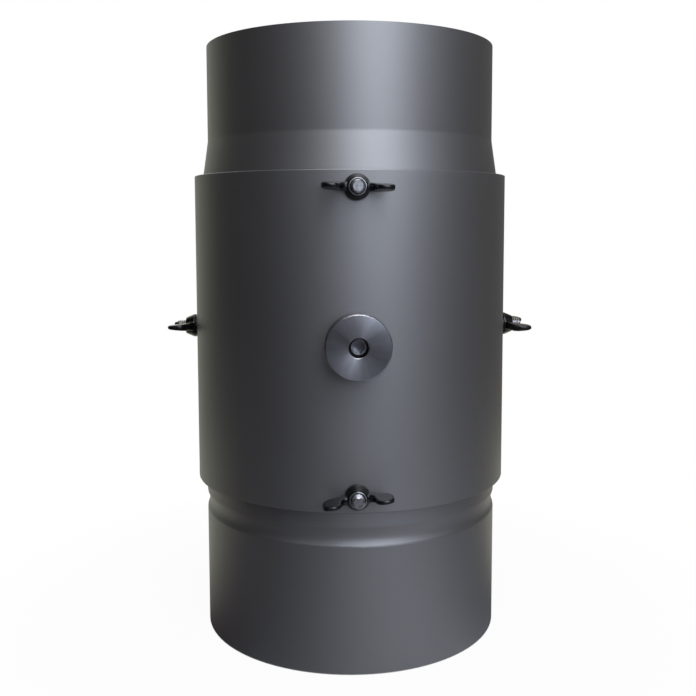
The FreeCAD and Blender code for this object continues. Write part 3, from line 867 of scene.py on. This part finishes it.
@dataclass
class RearBearing:
    """The weld bead that closes the rear bearing to the back wall."""

    palette: Palette
    ripple_height: float = 0.1
    ripples: int = 36
    # The bead's outline, out from the bearing's side and from the wall
    bead: ClassVar[Outline] = ((-0.2, -1.4), (1.68, -1.4), (1.44, 0.15), (0.84, 0.8),
                               (0.24, 1.3), (-0.2, 1.5))

    def build(self) -> None:
        """Lay the bead round the bearing, on the curved wall."""
        low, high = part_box("rear_bearing")
        radius = (high.x - low.x) / 2 / MM
        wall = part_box("flue_pipe")[1].y / MM
        height = (low.z + high.z) / 2
        mesh = spun([(radius + out, rise) for out, rise in self.bead], 96)
        for vert in mesh.verts:
            angle = math.atan2(vert.co.y, vert.co.x)
            side = math.cos(angle) * vert.co.xy.length / MM
            drop = wall - math.sqrt(wall**2 - side**2)
            swell = self.ripple_height * math.sin(angle * self.ripples)
            ripple = swell if vert.co.z > 0 else 0.0
            vert.co.z += (ripple - drop + wall) * MM
        as_piece("bearing_weld", mesh, facing_out(math.pi, height), "pipe",
                 [self.palette.of(STOVE_PAINT)])


@dataclass
class Carried:
    """The nodes whose own shape is right, and which only get a finish."""

    palette: Palette
    finishes: ClassVar[dict[Finish, tuple[str, ...]]] = {
        STOVE_PAINT: ("flue_pipe", "rear_bearing"),
        GLASS_CORD: ("hatch_gasket",),
        TURNED_STEEL: ("spindle_bush",),
        BRIGHT_ZINC: ("bush_nut", "stop_pin"),
        ROLLED_STAINLESS: ("knob_washer", "thrust_washer", "disc_spring", "spindle_clip",
                           "spindle", "front_saddle", "rear_saddle", "saddle_rivets",
                           "catalyst_band", "retaining_ring", "rear_pivot"),
        FIBRE_MAT: ("core_mat",),
        COATED_CERAMIC: ("catalyst_core",),
    }

    def build(self) -> None:
        """Give each carried node its material."""
        for finish, nodes in self.finishes.items():
            for node in nodes:
                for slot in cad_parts[node].material_slots:
                    slot.material = self.palette.of(finish)
                log.info("%s: %s", node, finish.name)


def background_rays(tree: bpy.types.NodeTree) -> bpy.types.NodeSocket:
    """1 for camera, glossy and transmission rays, which all see the plain background."""
    rays = add_node(tree, "LightPath")
    first = add_node(tree, "Math", {}, {0: rays.outputs["Is Camera Ray"],
                                        1: rays.outputs["Is Glossy Ray"]}, operation="MAXIMUM")
    both = add_node(tree, "Math", {}, {0: first.outputs[0],
                                       1: rays.outputs["Is Transmission Ray"]},
                    operation="MAXIMUM")
    return both.outputs[0]


@dataclass
class LightTent:
    """Cloth round the object that only its reflections see: pale in front, dark at the sides.

    Its tones go by azimuth in degrees, from 0 at the front and positive to the right.
    """

    foot_radius: float = 0.02
    clearance: float = 0.0003
    radius: float = 1.9
    height: float = 5.0
    near_reach: float = 0.25
    far_reach: float = 0.6
    floor_strength: float = 0.3
    wall_strength: float = 1.75
    wall_level: float = 1.1
    front_reach: float = 0.4
    far_tones: ClassVar[dict[int, str]] = {
        -165: "#ffffef", -140: "#e1e1d2", -127: "#818178", -112: "#383834", -91: "#231f21",
        -71: "#1f1b1d", -52: "#2f2a2d", -39: "#3d3e42", -16: "#5a5c62", -4: "#6b6d74",
        8: "#7a7c84", 19: "#8b8e97", 31: "#989ba5", 44: "#9c9fa9", 56: "#8b8e97", 70: "#61636a",
        102: "#494540", 126: "#5d5953", 156: "#9b958b",
    }
    near_tones: ClassVar[dict[int, str]] = {
        -165: "#ffffef", -150: "#ffffef", -130: "#ffffef", -103: "#9e9e93", -79: "#4f484c",
        -62: "#3f393d", -45: "#4a4c51", -27: "#5d6066", -10: "#74777e", 8: "#8d9099",
        25: "#a0a3ad", 44: "#a1a5af", 60: "#8b8e97", 85: "#6e7178", 103: "#979087",
        126: "#ffffef", 150: "#ffffef",
    }

    def build(self) -> None:
        """Hang the tent as one mesh, which is hidden from all but glossy rays."""
        mesh = bmesh.new()
        outline = [(self.foot_radius, self.clearance), (self.radius, self.clearance),
                   (self.radius, self.height)]
        verts = [mesh.verts.new((reach, 0, height)) for reach, height in outline]
        edges = [mesh.edges.new(pair) for pair in zip(verts, verts[1:])]
        bmesh.ops.spin(mesh, geom=verts + edges, cent=(0, 0, 0), axis=(0, 0, 1),
                       angle=math.tau, steps=48, use_merge=True)
        data = as_data("light_tent", mesh)
        data.materials.append(self.cloth())
        tent = in_scene("light_tent", data)
        for kind in ("camera", "diffuse", "transmission", "shadow", "volume_scatter"):
            setattr(tent, "visible_" + kind, False)

    def cloth(self) -> bpy.types.Material:
        """The tent's tones, which run from near the object's foot out to the walls.

        Returns:
            The material.
        """
        material = bare_material("tent_cloth")
        tree = material.node_tree
        place = add_node(tree, "TexCoord").outputs["Object"]
        level = add_node(tree, "SeparateXYZ", {}, {0: place})
        behind = add_node(tree, "Math", {1: -1.0}, {0: level.outputs["Y"]}, operation="MULTIPLY")
        azimuth = add_node(tree, "Math", {}, {0: level.outputs["X"], 1: behind.outputs[0]},
                           operation="ARCTAN2")
        turn = add_node(tree, "MapRange", {1: -math.pi, 2: math.pi}, {0: azimuth.outputs[0]})
        reach = add_node(tree, "VectorMath", {}, {0: place}, operation="LENGTH").outputs["Value"]
        outwards = add_node(tree, "MapRange", {1: self.near_reach, 2: self.far_reach},
                            {0: reach}, interpolation_type="SMOOTHSTEP")
        near = self.ramp(tree, turn.outputs[0], self.near_tones)
        far = self.ramp(tree, turn.outputs[0], self.far_tones)
        tone = add_node(tree, "Mix", {}, {0: outwards.outputs[0], 6: near, 7: far},
                        data_type="RGBA")
        rise = add_node(tree, "MapRange", {1: 0.0, 2: self.wall_level, 3: self.floor_strength,
                                           4: self.wall_strength}, {0: level.outputs["Z"]})
        front = add_node(tree, "MapRange", {2: self.front_reach}, {0: behind.outputs[0]})
        share = add_node(tree, "Math", {}, {0: outwards.outputs[0], 1: front.outputs[0]},
                         operation="MULTIPLY")
        strength = add_node(tree, "Mix", {2: 1.0}, {0: share.outputs[0], 3: rise.outputs[0]})
        glow = add_node(tree, "Emission", {}, {"Color": tone.outputs[2],
                                               "Strength": strength.outputs[0]})
        add_node(tree, "OutputMaterial", links={"Surface": glow.outputs[0]})
        return material

    def ramp(self, tree: bpy.types.NodeTree, turn: bpy.types.NodeSocket,
             tones: dict[int, str]) -> bpy.types.NodeSocket:
        """A tone for each azimuth, from 0 at the object's front and positive to its right.

        Args:
            tree: The material's node tree.
            turn: The azimuth, from 0 to 1 for a full turn that starts at the back.
            tones: Colours as "#rrggbb" by azimuth in degrees.

        Returns:
            The colour, which runs smoothly from one tone to the next.
        """
        ramp = add_node(tree, "ValToRGB", {}, {0: turn})
        stops = ramp.color_ramp.elements
        (first_azimuth, first_tone), *others = tones.items()
        stops.remove(stops[1])
        stops[0].position = first_azimuth / 360 + 0.5
        stops[0].color = to_linear(first_tone)
        for azimuth, tone in others:
            stops.new(azimuth / 360 + 0.5).color = to_linear(tone)
        return ramp.outputs[0]


@dataclass
class Studio:
    """The pale floor, the white background and the soft lights."""

    floor_radius: float = 6.0
    ambient: float = 0.3
    key_azimuth: float = 17.5
    key_distance: float = 1.1
    key_elevation: float = 27.0
    key_width: float = 0.66
    key_height: float = 1.0
    key_power: float = 4.55
    key_colour: str = "#e6eeff"
    top_azimuth: float = 10.0
    top_elevation: float = 56.0
    top_distance: float = 1.0
    top_size: float = 0.5
    top_power: float = 3.0
    floor_colour: str = "#f0f0f0"
    shadow_start: float = 0.08
    shadow_end: float = 0.28
    shadow_white: float = 0.95

    def build(self) -> None:
        """Set up the floor, the world and the lights."""
        self.floor()
        self.world()
        target = Vector((0, 0, knob_centre.z))
        key = self.seen_from(self.key_azimuth, self.key_elevation, self.key_distance)
        self.soft_box("key", target + key, target, (self.key_width, self.key_height),
                      self.key_power, self.key_colour)
        top = self.seen_from(self.top_azimuth, self.top_elevation, self.top_distance)
        self.soft_box("top", target + top, target, (self.top_size, self.top_size),
                      self.top_power, "#ffffff")

    def seen_from(self, azimuth: float, elevation: float, distance: float) -> Vector:
        """A direction from the object, with azimuth 0 at its front and positive to its right."""
        level = math.cos(math.radians(elevation)) * distance
        return Vector((math.sin(math.radians(azimuth)) * level,
                       -math.cos(math.radians(azimuth)) * level,
                       math.sin(math.radians(elevation)) * distance))

    def soft_box(self, name: str, place: Vector, target: Vector, size: tuple[float, float],
                 power: float, colour: str) -> None:
        """Hang a rectangular lamp that faces a point.

        Args:
            name: The lamp's name.
            place: Where it hangs.
            target: What it faces.
            size: Its width and height in metres.
            power: Its power in watts.
            colour: Its colour as "#rrggbb".
        """
        light = bpy.data.lights.new(name, "AREA")
        light.shape = "RECTANGLE"
        light.size, light.size_y = size
        light.energy = power
        light.color = to_linear(colour)[:3]
        lamp = in_scene(name, light)
        lamp.location = place
        lamp.rotation_euler = (target - place).to_track_quat("-Z", "Y").to_euler()
        lamp.visible_camera = False

    def floor(self) -> None:
        """Lay the pale floor, which keeps a soft shadow near the object."""
        mesh = bmesh.new()
        bmesh.ops.create_circle(mesh, cap_ends=True, segments=96, radius=self.floor_radius)
        data = as_data("floor", mesh)
        material = bare_material("matt_white_floor")
        tree = material.node_tree
        matt = add_node(tree, "BsdfDiffuse", {"Color": to_linear(self.floor_colour)})
        white = add_node(tree, "Emission", {"Color": to_linear("#ffffff"), "Strength": 1.0})
        place = add_node(tree, "TexCoord").outputs["Object"]
        far = add_node(tree, "VectorMath", {}, {0: place}, operation="LENGTH").outputs["Value"]
        share = add_node(tree, "MapRange", {1: self.shadow_start, 2: self.shadow_end,
                                            3: self.shadow_white, 4: 1.0},
                         {0: far}, interpolation_type="SMOOTHSTEP").outputs[0]
        seen = add_node(tree, "Math", {}, {0: share, 1: background_rays(tree)},
                        operation="MULTIPLY")
        both = add_node(tree, "MixShader", {}, {0: seen.outputs[0], 1: matt.outputs[0],
                                                2: white.outputs[0]})
        add_node(tree, "OutputMaterial", links={"Surface": both.outputs[0]})
        data.materials.append(material)
        in_scene("floor", data)

    def world(self) -> None:
        """Make the background white and the ambient light plain."""
        world = bpy.data.worlds.new("studio")
        world.use_nodes = True
        tree = world.node_tree
        tree.nodes.clear()
        ambient = add_node(tree, "Background", {"Color": to_linear("#ffffff"),
                                                "Strength": self.ambient})
        white = add_node(tree, "Background", {"Color": to_linear("#ffffff"), "Strength": 1.0})
        both = add_node(tree, "MixShader", {}, {0: background_rays(tree),
                                                1: ambient.outputs[0], 2: white.outputs[0]})
        add_node(tree, "OutputWorld", links={"Surface": both.outputs[0]})
        bpy.context.scene.world = world


@dataclass
class Viewpoint:
    """The photograph's camera, found by fitting the pipe's ends and the nuts."""

    image_width: float = 696.0
    sensor_width: float = 36.0
    focal_pixels: float = 922.0
    centre_column: float = 349.8
    centre_row: float = 305.4
    place: tuple[float, float, float] = (-0.0199, -0.4952, 0.2137)
    pitch: float = 5.21
    roll: float = 0.13
    yaw: float = -2.3

    def build(self) -> None:
        """Set the camera up and make it the scene's own."""
        half = self.image_width / 2
        camera = bpy.data.cameras.new("camera")
        camera.sensor_width = self.sensor_width
        camera.lens = self.focal_pixels / self.image_width * self.sensor_width
        camera.shift_x = (half - self.centre_column) / self.image_width
        camera.shift_y = (self.centre_row - half) / self.image_width
        camera.clip_start = 0.01
        view = in_scene("camera", camera)
        view.location = self.place
        view.rotation_euler = (math.radians(90 - self.pitch), math.radians(self.roll),
                               math.radians(self.yaw))
        bpy.context.scene.camera = view


def main() -> None:
    """Build the camera, the studio and every piece in order."""
    logging.basicConfig(level=logging.INFO, format="%(name)s %(message)s")
    bpy.context.scene.view_settings.view_transform = "Standard"
    palette = Palette()
    Viewpoint().build()
    Studio().build()
    LightTent().build()
    for assembly in (Carried(palette), HatchCover(palette), Knob(palette),
                     HatchFasteners(palette), WingNut(palette), RearBearing(palette)):
        assembly.build()


if __name__ == "__main__":
    main()
